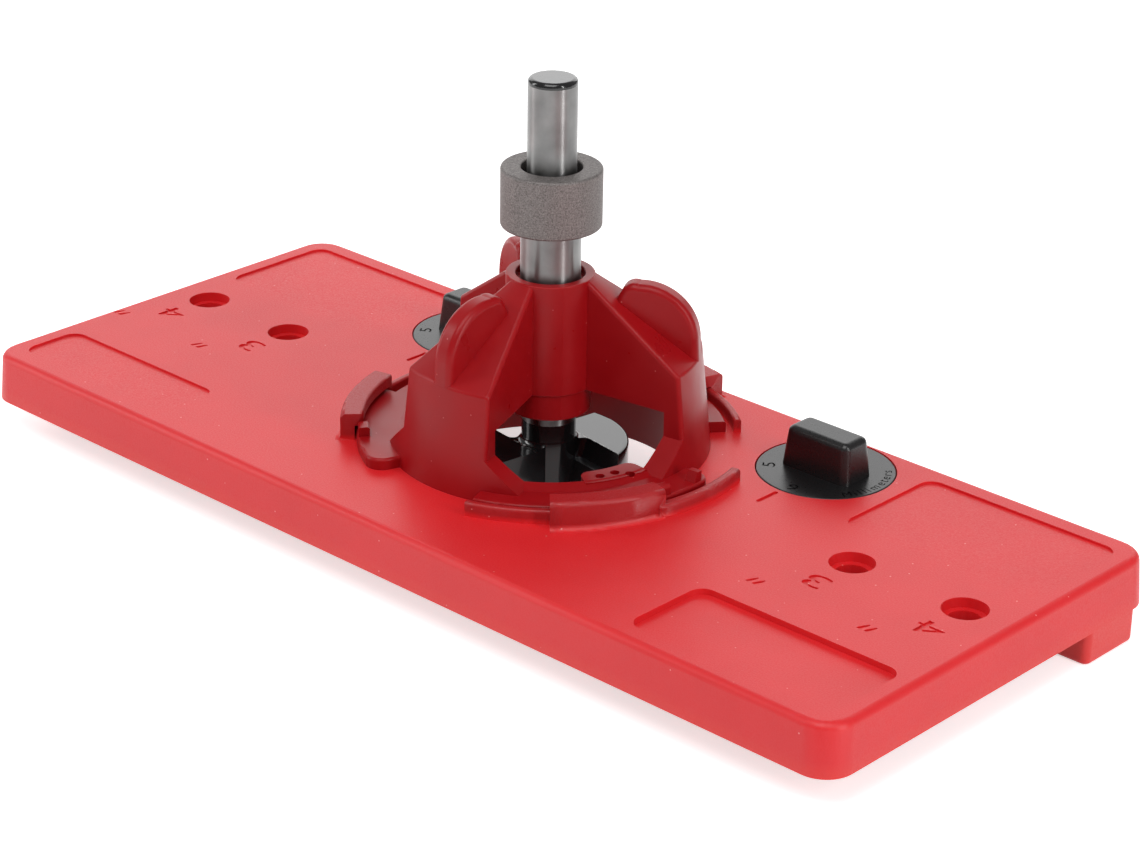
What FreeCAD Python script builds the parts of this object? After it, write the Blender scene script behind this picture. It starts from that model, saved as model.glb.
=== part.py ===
import FreeCAD, Part
import math
import os

os.makedirs("parts", exist_ok=True)

V = FreeCAD.Vector
UP = V(0, 0, 1)

# Hinge drilling jig. Millimetres, X along the plate, Y from the front edge to the dials, Z up.
# The origin is under the plate's centre at the bottom of the feet. Names that end in _Z are
# heights above that point, and names that end in _H are heights of a piece itself.

# Clearances between pieces
RUN = 0.05          # radial, a shaft or spigot that turns in its hole
TURN_GAP = 0.15     # radial, a dial's disc in its recess
REST_GAP = 0.05     # axial, between faces that slide over each other

# Boring axis, the hinge cup, and the round opening for the guide
BORE_Y = 3.75
CUP_D = 35.0
CUP_EDGE_Y = BORE_Y + CUP_D / 2
OPENING_R = 29.65
OPENING_WALL = 2.6

# Dials, set so far behind the cup's edge that their cams reach the door's edge
DIAL_REACH = 10.35
DIAL_X = 47.5
DIAL_Y = CUP_EDGE_Y + DIAL_REACH

# Plate, measured at its lower rim; its back edge follows the dials
PLATE_L = 225.5
PLATE_BEHIND_DIAL = 15.8
PLATE_W = 2 * (DIAL_Y + PLATE_BEHIND_DIAL)
PLATE_H = 10.0
PLATE_DRAFT = 0.6
PLATE_CORNER_R = 6.0
PLATE_EDGE_R = 1.5
PLATE_WALL = 2.6
PLATE_SKIN = 2.6
RIB_T = 1.8
RIB_PITCH = 17.0
RIBS_EACH_WAY = 2
FOOT_H = 6.8
FOOT_L = 14.0
FOOT_BEHIND_CUP = 6.1
FOOT_FRONT_Y = CUP_EDGE_Y + FOOT_BEHIND_CUP
FOOT_BACK_Y = PLATE_W / 2 - 4.9
FOOT_INSET = 0.15
FOOT_CORNER_R = 1.5
FOOT_EDGE_R = 0.9
FOOT_WALL = 2.5
FOOT_CORE_UP = 3.0
FOOT_CORE_R = 1.0
RIM_Z = FOOT_H
TOP_Z = RIM_Z + PLATE_H
SKIN_Z = TOP_Z - PLATE_SKIN

# Sight holes for the hinge's distance from the door's end, 3 and 4 inches from the boring axis
INCH = 25.4
SIGHT_X = (3 * INCH, 4 * INCH)
SIGHT_RIM_R = 4.35
SIGHT_R = 3.1
SIGHT_RIM_DEPTH = 2.0
SIGHT_BOSS_R = 6.4

# Shallow moulded panels and the deeper pocket: distances from the middle in X, limits in Y
PANEL_DEPTH = 0.45
PANEL_R = 3.0
BACK_PANEL = (64.5, PLATE_L / 2 - 4.75, 15.3, PLATE_W / 2 - 5.1)
FRONT_PANEL = (63.0, PLATE_L / 2 - 4.75, 5.7 - PLATE_W / 2, -27.8)
POCKET = (62.7, PLATE_L / 2 - 4.55, 5.1 - PLATE_W / 2, -22.4)
POCKET_DEPTH = 1.2

# Hooks that hold the guide down, every 120 degrees, angles about the boring axis
HOOK_AT_DEG = (-30.0, 90.0, 210.0)
HOOK_HALF_DEG = 16.0
HOOK_R_IN = 38.0
HOOK_R_OUT = 40.8
HOOK_LIP_R = 36.3
HOOK_H = 5.5
HOOK_LIP_UNDER_H = 3.0
HOOK_FOOT_R = 42.0
CURB_R_IN = 36.8
CURB_R_OUT = 38.3
CURB_H = 2.8
CURB_FROM_DEG = -40.5
OUTER_CURB_R_IN = 39.0
OUTER_CURB_R_OUT = 41.2
OUTER_CURB_H = 2.6
OUTER_CURB_TO_DEG = 46.5
HOOK_LAP_DEG = 2.0

# Dial, grip and index groove
DIAL_R = 13.6
DIAL_T = 2.4
DIAL_RECESS_R = DIAL_R + TURN_GAP
DIAL_FLOOR_T = 2.5
GRIP_L = 16.4
GRIP_W = 8.6
GRIP_H = 8.1
GRIP_DRAFT = 0.8
GRIP_EDGE_R = 1.4
GRIP_CORNER_R = 1.6
STUB_R = 4.9
TANG = 6.0
TANG_L = 3.2
TANG_CORNER_R = 0.5
INDEX_L = 6.0
INDEX_W = 1.0
INDEX_DEPTH = 0.5
INDEX_END_Y = 17.0
INDEX_CORNER_R = 0.45

# Cams under the dials: a flat for each distance from the cup's edge to the door's edge
EDGE_FLATS = ((6.0, -90.0), (5.0, -150.0), (4.0, 150.0), (3.0, 90.0))
CAM_SIDE_FLATS = ((5.0, -30.0), (4.0, 30.0))
CAM_MAX_R = 9.2
CAM_WELL_R = 11.5
CAM_WELL_WALL = 1.8
CAM_BOTTOM_Z = 0.4
CAM_EDGE_R = 0.5
CAM_SINK_R = 3.3
CAM_SINK_DEPTH = 3.4
SCREW_R = 1.45
SCREW_L = 9.0
SCREW_HEAD_R = 2.5
SCREW_HEAD_H = 1.9
SCREW_CLEAR = 0.2
SCREW_HEAD_EDGE_R = 0.9
SCREW_CROSS = 0.8
SCREW_CROSS_DEPTH = 1.2
WASHER_CLEAR = 0.1
WASHER_R = 3.0
WASHER_T = 0.6

# Drill guide
GUIDE_R = OPENING_R - RUN
GUIDE_WALL = 2.9
GUIDE_FOOT_Z = RIM_Z + 0.5
SILL_IN_Z = RIM_Z + 13.1
SILL_OUT_Z = RIM_Z + 12.2
EAVE_R = 29.65
EAVE_Z = RIM_Z + 30.6
LEG_FOOT_R = 31.9
CHEEK_Z = RIM_Z + 22.7
TUBE_R = 8.65
TUBE_LOW_R = 8.2
TUBE_OVERLAP = 0.4
TUBE_TOP_Z = RIM_Z + 45.3
TUBE_LOW_Z = RIM_Z + 17.3
ROOF_TOP_Z = RIM_Z + 45.0
LEG_AT_DEG = (30.0, 150.0, 270.0)
WINDOW_HALF_DEG = 38.7
CHAMFER_TOP_Z = RIM_Z + 17.8
CHAMFER_HALF_DEG = 27.0
WINDOW_NEAR = 17.0
WINDOW_FAR = 45.0
WINDOW_UNDER_SILL = 1.4
LEG_SKIN = 2.5
LEG_EDGE_R = 0.8
MOUTH_R = 6.7
MOUTH_DEPTH = 1.4

# Fins, in a leg's own radial plane: distance from the axis and height above the plate's rim
FIN_T = 4.6
FIN_EDGE_R = 1.3
FIN_FOOT = (12.6, 40.0)
FIN_NOSE = (14.3, 43.4)
FIN_NOSE_MID = (15.4, 44.7)
FIN_CROWN = (17.6, 45.0)
FIN_BACK_MID = (EAVE_R - 3.75, 42.2)
FIN_BACK = (EAVE_R - 0.15, 35.2)
FIN_HEEL = (EAVE_R + 0.15, 30.4)
FIN_INSIDE = (EAVE_R - 2.15, 30.0)

# Ears that pass under the hooks, angles from each hook's centre
EAR_HALF_DEG = 40.0
EAR_STEP_DEG = -15.6
EAR_NARROW_R = 35.3
EAR_WIDE_R = 37.6
EAR_T = 2.3
EAR_EDGE_R = 0.6
EAR_CORNER_R = 3.2
EAR_ROOT = 1.4
STOP_FROM_DEG = 17.0
STOP_TO_DEG = 21.6
STOP_R_IN = 35.1
STOP_R_OUT = 37.3
STOP_H = 4.2
STOP_EDGE_R = 0.6
THUMB_R_IN = 34.8
THUMB_W = 2.3
THUMB_L = 2.5
THUMB_TOP_L = 1.2
THUMB_H = 4.3
THUMB_END_DEG = 35.0

# Perforated ledge on the front window's sill
SHELF_FROM_DEG = -31.7
SHELF_TO_DEG = -3.5
SHELF_R = 22.7
SHELF_TOP_Z = RIM_Z + 13.0
SHELF_T = 2.0
SHELF_CORNER_R = 2.0
SHELF_HOLES = ((-23.7, 25.3), (-16.3, 25.1), (-11.5, 27.0))
SHELF_HOLE_R = 0.95

# Boring bit
SHANK_R = 9.525 / 2
SHANK_TOP_Z = RIM_Z + 84.3
SHANK_TIP_R = 0.9
SHAFT_R = 5.85
SHAFT_TOP_Z = RIM_Z + 60.0
SHAFT_LOW_Z = RIM_Z + 16.2
NECK_R = 5.35
NECK_CLEAR = 0.05
HEAD_TOP_Z = RIM_Z + 10.2
HEAD_LOW_Z = RIM_Z - 0.4
HEAD_R = 15.8
HEAD_EDGE_R = 0.6
NECK_BLEND_R = 1.2
HEAD_TURN_DEG = -8.4
LEAD_TOP = 6.15
LEAD_LOW = 2.5
TRAIL = 3.9
GULLET_BLEND_R = 1.4
GULLET_REACH = 30.0
WING_T = 2.0
WING_LOW_Z = RIM_Z - 1.8
WING_TOP_Z = RIM_Z + 6.4
WING_RELIEF = 1.0
WING_LAND = 0.25
SPUR_T = 2.0
SPUR_W = 4.0
SPUR_AT_DEG = 78.0
SPUR_TIP_L = 0.3
SPUR_LOW_Z = RIM_Z - 2.5
SPUR_TOP_Z = RIM_Z + 5.0
POINT_R = 1.5
POINT_LOW_Z = RIM_Z - 3.8
POINT_CONE_H = 2.6
POINT_TOP_Z = RIM_Z + 5.0

# Stop collar and its set screw
COLLAR_R = 9.8
COLLAR_LOW_Z = RIM_Z + 55.0
COLLAR_TOP_Z = RIM_Z + 66.7
COLLAR_EDGE = 0.5
SET_R = 2.4
SET_L = 3.8
SET_AT_DEG = 120.0
SET_HEX = 2.5
SET_HEX_DEPTH = 1.8


def round_wire(corners):
    """Closed wire through (point, radius) corners, each corner replaced by a tangent arc."""
    edges = []
    n = len(corners)
    ends = []
    for i in range(n):
        p, r = corners[i]
        a = (corners[i - 1][0] - p).normalize()
        b = (corners[(i + 1) % n][0] - p).normalize()
        if r <= 0:
            ends.append((p, p, None))
            continue
        half = a.getAngle(b) / 2
        d = r / math.tan(half)
        mid = (a + b).normalize()
        m = p + mid * (r / math.sin(half) - r)
        ends.append((p + a * d, p + b * d, m))
    for i in range(n):
        start, end, mid = ends[i]
        if mid is not None:
            edges.append(Part.Arc(start, mid, end).toShape())
        nxt = ends[(i + 1) % n][0]
        if end.distanceToPoint(nxt) > 1e-6:
            edges.append(Part.makeLine(end, nxt))
    return Part.Wire(edges)


def ring(profile, start=0.0, span=360.0, x=0.0, y=BORE_Y):
    """Solid turned about a vertical axis from (radius, z, corner radius) points."""
    wire = round_wire([(V(x + r, y, z), c) for r, z, c in profile])
    solid = Part.Face(wire).revolve(V(x, y, 0), UP, span)
    if start:
        solid.rotate(V(x, y, 0), UP, start)
    return solid


def rod(r, z0, z1, x=0.0, y=BORE_Y):
    return Part.makeCylinder(r, z1 - z0, V(x, y, z0), UP)


def rounded_rect(x0, x1, y0, y1, r, z):
    return round_wire([(V(x0, y0, z), r), (V(x1, y0, z), r), (V(x1, y1, z), r), (V(x0, y1, z), r)])


def slab(x0, x1, y0, y1, r, z0, z1):
    return Part.Face(rounded_rect(x0, x1, y0, y1, r, z0)).extrude(V(0, 0, z1 - z0))


def tapered(x0, x1, y0, y1, r, z0, z1, draft):
    """Block whose walls lean in by draft from z0 to z1."""
    low = rounded_rect(x0, x1, y0, y1, r, z0)
    high = rounded_rect(x0 + draft, x1 - draft, y0 + draft, y1 - draft, r, z1)
    return Part.makeLoft([low, high], True, True)


def at_angle(shape, angle, x=0.0, y=BORE_Y):
    turned = shape.copy()
    turned.rotate(V(x, y, 0), UP, angle)
    return turned


def fuse(shapes):
    first = shapes[0]
    return first.multiFuse(shapes[1:]).removeSplitter()


def edges_where(shape, test):
    return [e for e in shape.Edges if test(e)]


def spread(e, axis):
    box = e.BoundBox
    return {"x": box.XLength, "y": box.YLength, "z": box.ZLength}[axis]


def save(name, shape):
    shape.exportStep("parts/" + name + ".step")
    print(name, len(shape.Solids), "solid", shape.isValid(), round(shape.Volume, 1))


# Base plate: one moulded shell with ribs beneath
half_l = PLATE_L / 2
half_w = PLATE_W / 2
block = tapered(-half_l, half_l, -half_w, half_w, PLATE_CORNER_R, RIM_Z, TOP_Z, PLATE_DRAFT)
plate = block
top_edges = edges_where(plate, lambda e: abs(e.BoundBox.ZMin - TOP_Z) < 1e-6)
plate = plate.makeFillet(PLATE_EDGE_R, top_edges)
hollow_draft = PLATE_DRAFT * (PLATE_H - PLATE_SKIN) / PLATE_H
hollow = tapered(
    -half_l + PLATE_WALL, half_l - PLATE_WALL, -half_w + PLATE_WALL, half_w - PLATE_WALL,
    PLATE_CORNER_R - PLATE_WALL, RIM_Z, SKIN_Z, hollow_draft)
plate = plate.cut(hollow)

under = []
rib_x = half_l - PLATE_WALL
rib_y = half_w - PLATE_WALL
for k in range(-RIBS_EACH_WAY, RIBS_EACH_WAY + 1):
    y = BORE_Y + k * RIB_PITCH
    under.append(slab(-rib_x - 1, rib_x + 1, y - RIB_T / 2, y + RIB_T / 2, 0, RIM_Z, SKIN_Z + 1))
for x in (-SIGHT_X[1], -SIGHT_X[0], -DIAL_X, DIAL_X, SIGHT_X[0], SIGHT_X[1]):
    under.append(slab(x - RIB_T / 2, x + RIB_T / 2, -rib_y - 1, rib_y + 1, 0, RIM_Z, SKIN_Z + 1))
under.append(rod(OPENING_R + OPENING_WALL, RIM_Z, SKIN_Z + 1))
for side in (-1, 1):
    for x in SIGHT_X:
        under.append(rod(SIGHT_BOSS_R, RIM_Z, SKIN_Z + 1, side * x))
    well = rod(DIAL_RECESS_R + PLATE_WALL, TOP_Z - DIAL_T - REST_GAP - DIAL_FLOOR_T, SKIN_Z + 1,
               side * DIAL_X, DIAL_Y)
    under.append(well)
    under.append(rod(CAM_WELL_R + CAM_WELL_WALL, RIM_Z, SKIN_Z - 1, side * DIAL_X, DIAL_Y))

# Feet, hollow from below, that rise inside the plate to its skin
foot_out_x = half_l - FOOT_INSET
foot_in_x = foot_out_x - FOOT_L
feet = []
for side in (-1, 1):
    lo, hi = sorted((side * foot_in_x, side * foot_out_x))
    foot = slab(lo, hi, FOOT_FRONT_Y, FOOT_BACK_Y, FOOT_CORNER_R, 0, RIM_Z)
    low_edges = edges_where(foot, lambda e: e.BoundBox.ZMax < 1e-6)
    feet.append(foot.makeFillet(FOOT_EDGE_R, low_edges))
    under.append(slab(lo, hi, FOOT_FRONT_Y, FOOT_BACK_Y, FOOT_CORNER_R, RIM_Z, SKIN_Z + 1))
inner = fuse(under).common(block)
plate = fuse([plate, inner] + feet)

cuts = [rod(OPENING_R, RIM_Z - 1, TOP_Z + 1)]
for side in (-1, 1):
    for x in SIGHT_X:
        cuts.append(rod(SIGHT_R, RIM_Z - 1, TOP_Z + 1, side * x))
        cuts.append(rod(SIGHT_RIM_R, TOP_Z - SIGHT_RIM_DEPTH, TOP_Z + 1, side * x))
    cuts.append(rod(DIAL_RECESS_R, TOP_Z - DIAL_T - REST_GAP, TOP_Z + 1, side * DIAL_X, DIAL_Y))
    cuts.append(rod(STUB_R + RUN, RIM_Z - 1, TOP_Z, side * DIAL_X, DIAL_Y))
    cuts.append(rod(CAM_WELL_R, RIM_Z - 1, TOP_Z - DIAL_T - REST_GAP - DIAL_FLOOR_T,
                    side * DIAL_X, DIAL_Y))
    x = side * DIAL_X
    cuts.append(slab(x - INDEX_W / 2, x + INDEX_W / 2, INDEX_END_Y - INDEX_L, INDEX_END_Y,
                     INDEX_CORNER_R, TOP_Z - INDEX_DEPTH, TOP_Z + 1))
    lo, hi = sorted((side * BACK_PANEL[0], side * BACK_PANEL[1]))
    cuts.append(slab(lo, hi, BACK_PANEL[2], BACK_PANEL[3], PANEL_R, TOP_Z - PANEL_DEPTH, TOP_Z + 1))
    core_lo, core_hi = sorted((side * (foot_in_x + FOOT_WALL), side * (foot_out_x - FOOT_WALL)))
    cuts.append(slab(core_lo, core_hi, FOOT_FRONT_Y + FOOT_WALL, FOOT_BACK_Y - FOOT_WALL, FOOT_CORE_R,
                     -1, RIM_Z + FOOT_CORE_UP))
cuts.append(slab(-FRONT_PANEL[1], -FRONT_PANEL[0], FRONT_PANEL[2], FRONT_PANEL[3], PANEL_R,
                 TOP_Z - PANEL_DEPTH, TOP_Z + 1))
cuts.append(slab(POCKET[0], POCKET[1], POCKET[2], POCKET[3], PANEL_R, TOP_Z - POCKET_DEPTH, TOP_Z + 1))
plate = plate.cut(cuts)

# Hooks and curbs on the plate's top
hook_profile = [
    (HOOK_R_IN, TOP_Z - 1, 0), (HOOK_FOOT_R, TOP_Z - 1, 0), (HOOK_FOOT_R, TOP_Z, 0),
    (HOOK_R_OUT, TOP_Z, 1.1), (HOOK_R_OUT, TOP_Z + HOOK_H, 0.9), (HOOK_LIP_R, TOP_Z + HOOK_H, 0.5),
    (HOOK_LIP_R, TOP_Z + HOOK_LIP_UNDER_H, 0.3), (HOOK_R_IN, TOP_Z + HOOK_LIP_UNDER_H, 0)]
curb_profile = [
    (CURB_R_IN, TOP_Z - 1, 0), (CURB_R_OUT, TOP_Z - 1, 0),
    (CURB_R_OUT, TOP_Z + CURB_H, 0.5), (CURB_R_IN, TOP_Z + CURB_H, 0.5)]
outer_curb_profile = [
    (OUTER_CURB_R_IN, TOP_Z - 1, 0), (OUTER_CURB_R_OUT, TOP_Z - 1, 0),
    (OUTER_CURB_R_OUT, TOP_Z + OUTER_CURB_H, 0.7), (OUTER_CURB_R_IN, TOP_Z + OUTER_CURB_H, 0.7)]
top_parts = [plate]
for hook in HOOK_AT_DEG:
    top_parts.append(ring(hook_profile, hook - HOOK_HALF_DEG, 2 * HOOK_HALF_DEG))
    top_parts.append(ring(curb_profile, hook + CURB_FROM_DEG, -HOOK_HALF_DEG - CURB_FROM_DEG))
first_hook = HOOK_AT_DEG[0]
top_parts.append(ring(outer_curb_profile, first_hook + HOOK_HALF_DEG - HOOK_LAP_DEG,
                      OUTER_CURB_TO_DEG - HOOK_HALF_DEG + HOOK_LAP_DEG))
base_plate = fuse(top_parts)
save("base_plate", base_plate)

# Drill guide: a ring, three hollow legs and the tube that holds the shaft
inner_r = GUIDE_R - GUIDE_WALL
roof_slope = (ROOF_TOP_Z - EAVE_Z) / (EAVE_R - TUBE_R)
core_r = TUBE_R - TUBE_OVERLAP
shell = ring([
    (core_r - 1, CHEEK_Z, 0), (inner_r, CHEEK_Z, 0),
    (inner_r, GUIDE_FOOT_Z, 0.3), (GUIDE_R, GUIDE_FOOT_Z, 0.3),
    (GUIDE_R, TOP_Z, 0), (LEG_FOOT_R, TOP_Z, 0), (EAVE_R, EAVE_Z, 0),
    (core_r - 1, EAVE_Z + roof_slope * (EAVE_R - core_r + 1), 0)], HOOK_AT_DEG[0])
tube = ring([
    (SHAFT_R + RUN, TUBE_LOW_Z, 0.3), (TUBE_LOW_R, TUBE_LOW_Z, 0.4), (TUBE_LOW_R, CHEEK_Z, 0),
    (TUBE_R, CHEEK_Z, 0.15), (TUBE_R, TUBE_TOP_Z, 0.25), (MOUTH_R, TUBE_TOP_Z, 0.3),
    (MOUTH_R, TUBE_TOP_Z - MOUTH_DEPTH, 0),
    (SHAFT_R + RUN, TUBE_TOP_Z - MOUTH_DEPTH, 0)], HOOK_AT_DEG[0])


def flat_sided(low, high):
    """Solid with flat sides between two polygons, both counter-clockwise seen from above."""
    n = len(low)
    floor = low[::-1]
    faces = [
        Part.Face(Part.makePolygon(floor + floor[:1])),
        Part.Face(Part.makePolygon(high + high[:1]))]
    for i in range(n):
        j = (i + 1) % n
        faces.append(Part.Face(Part.makePolygon([low[i], low[j], high[j], high[i], low[i]])))
    return Part.Solid(Part.Shell(faces))


def radial_prism(half, near, far, z0, z1):
    """Upright wedge between two radial planes."""
    t = math.tan(math.radians(half))
    pts = [
        V(near, BORE_Y - near * t, z0), V(far, BORE_Y - far * t, z0),
        V(far, BORE_Y + far * t, z0), V(near, BORE_Y + near * t, z0)]
    return Part.Face(Part.makePolygon(pts + [pts[0]])).extrude(V(0, 0, z1 - z0))


# A window is open between the legs from its chamfers up, and its lower corners are chamfered
window_low_z = SILL_OUT_Z - WINDOW_UNDER_SILL
window = radial_prism(WINDOW_HALF_DEG, 0.5, WINDOW_FAR, CHAMFER_TOP_Z, ROOF_TOP_Z + 5)
mid_wall_r = GUIDE_R - GUIDE_WALL / 2
chamfer_in = mid_wall_r * math.sin(math.radians(WINDOW_HALF_DEG - CHAMFER_HALF_DEG))
chamfer_in *= (CHAMFER_TOP_Z - window_low_z) / (CHAMFER_TOP_Z - SILL_IN_Z)
chamfer_in /= math.cos(math.radians(WINDOW_HALF_DEG))
corner = {}
for d in (WINDOW_NEAR, WINDOW_FAR):
    wide = d * math.tan(math.radians(WINDOW_HALF_DEG))
    corner[d] = (wide, wide - chamfer_in)
low_pts = []
high_pts = []
for d, sign in ((WINDOW_NEAR, -1), (WINDOW_FAR, -1), (WINDOW_FAR, 1), (WINDOW_NEAR, 1)):
    high_pts.append(V(d, BORE_Y + sign * corner[d][0], CHAMFER_TOP_Z))
    low_pts.append(V(d, BORE_Y + sign * corner[d][1], window_low_z))
window_foot = flat_sided(low_pts, high_pts)
sill_slope = (SILL_IN_Z - SILL_OUT_Z) / GUIDE_WALL
sill_keep = ring([(inner_r - 10, RIM_Z, 0), (WINDOW_FAR + 20, RIM_Z, 0),
                  (WINDOW_FAR + 20, SILL_IN_Z - sill_slope * (WINDOW_FAR + 20 - inner_r), 0),
                  (inner_r - 10, SILL_IN_Z + sill_slope * 10, 0)])
window_foot = window_foot.cut(sill_keep)
window_cuts = []
for a in HOOK_AT_DEG:
    window_cuts.append(at_angle(window, a))
    window_cuts.append(at_angle(window_foot, a))
shell = shell.cut(window_cuts)


def soft_edge(e):
    """Outer edges of a leg: up its sides, round its eave and up its roof."""
    ends = [(math.hypot(v.X, v.Y - BORE_Y), v.Z) for v in e.Vertexes]
    if len(ends) < 2 or min(z for r, z in ends) < SILL_IN_Z - 1:
        return False
    lean = (LEG_FOOT_R - EAVE_R) / (EAVE_Z - TOP_Z)
    on_wall = all(abs(r - EAVE_R - lean * (EAVE_Z - z)) < 0.05 for r, z in ends)
    on_roof = all(abs(z - EAVE_Z - roof_slope * (EAVE_R - r)) < 0.05 for r, z in ends)
    rises = e.BoundBox.ZLength > 10
    return on_wall or (on_roof and rises)


shell = shell.makeFillet(LEG_EDGE_R, edges_where(shell, soft_edge))

# A leg's hollow stays one wall inside its cheeks, its roof and its outer wall
roof_drop = LEG_SKIN / math.cos(math.atan(roof_slope))
hollow_profile = [
    (TUBE_R, CHEEK_Z - 1, 0), (inner_r, CHEEK_Z - 1, 0),
    (inner_r, EAVE_Z + roof_slope * (EAVE_R - inner_r) - roof_drop, 0),
    (TUBE_R, ROOF_TOP_Z - roof_drop, 0)]
leg_hollow = ring(hollow_profile, -30, 60)
half_leg = 60.0 - WINDOW_HALF_DEG
cheek_shift = LEG_SKIN / math.sin(math.radians(half_leg))
reach = 40.0
spread_y = reach * math.tan(math.radians(half_leg))
wedge = Part.Face(Part.makePolygon([
    V(cheek_shift, BORE_Y, 0), V(cheek_shift + reach, BORE_Y - spread_y, 0),
    V(cheek_shift + reach, BORE_Y + spread_y, 0), V(cheek_shift, BORE_Y, 0)])).extrude(V(0, 0, 100))
leg_hollow = leg_hollow.common(wedge)
shell = shell.cut([at_angle(leg_hollow, a) for a in LEG_AT_DEG] + [rod(core_r, RIM_Z, TUBE_TOP_Z + 9)])


def fin_point(p):
    return V(p[0], BORE_Y - FIN_T / 2, RIM_Z + p[1])


fin_wire = Part.Wire([
    Part.makeLine(fin_point(FIN_FOOT), fin_point(FIN_NOSE)),
    Part.Arc(fin_point(FIN_NOSE), fin_point(FIN_NOSE_MID), fin_point(FIN_CROWN)).toShape(),
    Part.Arc(fin_point(FIN_CROWN), fin_point(FIN_BACK_MID), fin_point(FIN_BACK)).toShape(),
    Part.makeLine(fin_point(FIN_BACK), fin_point(FIN_HEEL)),
    Part.makeLine(fin_point(FIN_HEEL), fin_point(FIN_INSIDE)),
    Part.makeLine(fin_point(FIN_INSIDE), fin_point(FIN_FOOT))])
fin = Part.Face(fin_wire).extrude(V(0, FIN_T, 0))
outline = edges_where(fin, lambda e: spread(e, "y") < 1e-6
                      and e.BoundBox.ZMax > RIM_Z + FIN_NOSE[1] - 0.01)
back_edge = edges_where(fin, lambda e: spread(e, "y") < 1e-6
                        and abs(e.BoundBox.XMin - FIN_BACK[0]) < 0.2
                        and e.BoundBox.ZMax < RIM_Z + FIN_BACK[1] + 0.01)
fin = fin.makeFillet(FIN_EDGE_R, outline + back_edge)

guide_parts = [shell, tube] + [at_angle(fin, a) for a in LEG_AT_DEG]


def plan_point(r, angle, z):
    return V(r * math.cos(math.radians(angle)), BORE_Y + r * math.sin(math.radians(angle)), z)


def plan_arc(r, start, end, z):
    mid = (start + end) / 2
    return Part.Arc(plan_point(r, start, z), plan_point(r, mid, z), plan_point(r, end, z)).toShape()


def plan_line(a, b, z):
    return Part.makeLine(plan_point(a[0], a[1], z), plan_point(b[0], b[1], z))


def corner_edges(solid, spots):
    """Upright edges that stand at the given (radius, angle) spots."""
    tops = [plan_point(r, a, 0) for r, a in spots]
    return edges_where(solid, lambda e: spread(e, "x") + spread(e, "y") < 1e-6 and any(
        math.hypot(e.Vertexes[0].X - t.x, e.Vertexes[0].Y - t.y) < 0.01 for t in tops))


# Ears on the guide's ring: narrow before the hook, wide under and behind it, with a rounded end
ear_in = inner_r + EAR_ROOT
for hook in HOOK_AT_DEG:
    a0, step, a1 = hook - EAR_HALF_DEG, hook + EAR_STEP_DEG, hook + EAR_HALF_DEG
    ear = Part.Face(Part.Wire([
        plan_line((ear_in, a0), (EAR_NARROW_R, a0), TOP_Z),
        plan_arc(EAR_NARROW_R, a0, step, TOP_Z),
        plan_line((EAR_NARROW_R, step), (EAR_WIDE_R, step), TOP_Z),
        plan_arc(EAR_WIDE_R, step, a1, TOP_Z),
        plan_line((EAR_WIDE_R, a1), (ear_in, a1), TOP_Z),
        plan_arc(ear_in, a1, a0, TOP_Z)])).extrude(V(0, 0, EAR_T))
    ear = ear.makeFillet(EAR_CORNER_R, corner_edges(ear, [(EAR_WIDE_R, a1)]))
    rim = edges_where(ear, lambda e: e.BoundBox.ZMin > TOP_Z + EAR_T - 1e-6 and min(
        math.hypot(v.X, v.Y - BORE_Y) for v in e.Vertexes) > ear_in + 0.01)
    guide_parts.append(ear.makeFillet(EAR_EDGE_R, rim))
    guide_parts.append(ring([
        (STOP_R_IN, TOP_Z + 1, 0), (STOP_R_OUT, TOP_Z + 1, 0), (STOP_R_OUT, TOP_Z + STOP_H, STOP_EDGE_R),
        (STOP_R_IN, TOP_Z + STOP_H, STOP_EDGE_R)], hook + STOP_FROM_DEG, STOP_TO_DEG - STOP_FROM_DEG))

# Thumb stop on the front ear: upright at its outer end, sloping on the other side
thumb_low_z = TOP_Z + EAR_T - 0.5
thumb = Part.Face(Part.makePolygon([
    V(THUMB_R_IN, BORE_Y, thumb_low_z), V(THUMB_R_IN, BORE_Y, TOP_Z + THUMB_H),
    V(THUMB_R_IN, BORE_Y - THUMB_TOP_L, TOP_Z + THUMB_H), V(THUMB_R_IN, BORE_Y - THUMB_L, thumb_low_z),
    V(THUMB_R_IN, BORE_Y, thumb_low_z)])).extrude(V(THUMB_W, 0, 0))
guide_parts.append(at_angle(thumb, HOOK_AT_DEG[0] + THUMB_END_DEG))

# Ledge inside the front window's sill
shelf_low_z = SHELF_TOP_Z - SHELF_T
shelf_root = inner_r + 1
shelf = Part.Face(Part.Wire([
    plan_line((shelf_root, SHELF_FROM_DEG), (SHELF_R, SHELF_FROM_DEG), shelf_low_z),
    plan_arc(SHELF_R, SHELF_FROM_DEG, SHELF_TO_DEG, shelf_low_z),
    plan_line((SHELF_R, SHELF_TO_DEG), (shelf_root, SHELF_TO_DEG), shelf_low_z),
    plan_arc(shelf_root, SHELF_TO_DEG, SHELF_FROM_DEG, shelf_low_z)])).extrude(V(0, 0, SHELF_T))
shelf_corners = [(SHELF_R, SHELF_FROM_DEG), (SHELF_R, SHELF_TO_DEG)]
shelf = shelf.makeFillet(SHELF_CORNER_R, corner_edges(shelf, shelf_corners))
guide_parts.append(shelf)
guide = fuse(guide_parts)
guide_cuts = []
for a, r in SHELF_HOLES:
    hole = rod(SHELF_HOLE_R, shelf_low_z - 1, SILL_IN_Z + 1, r)
    guide_cuts.append(at_angle(hole, a))
drill_guide = guide.cut(guide_cuts)
save("drill_guide", drill_guide)

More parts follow.
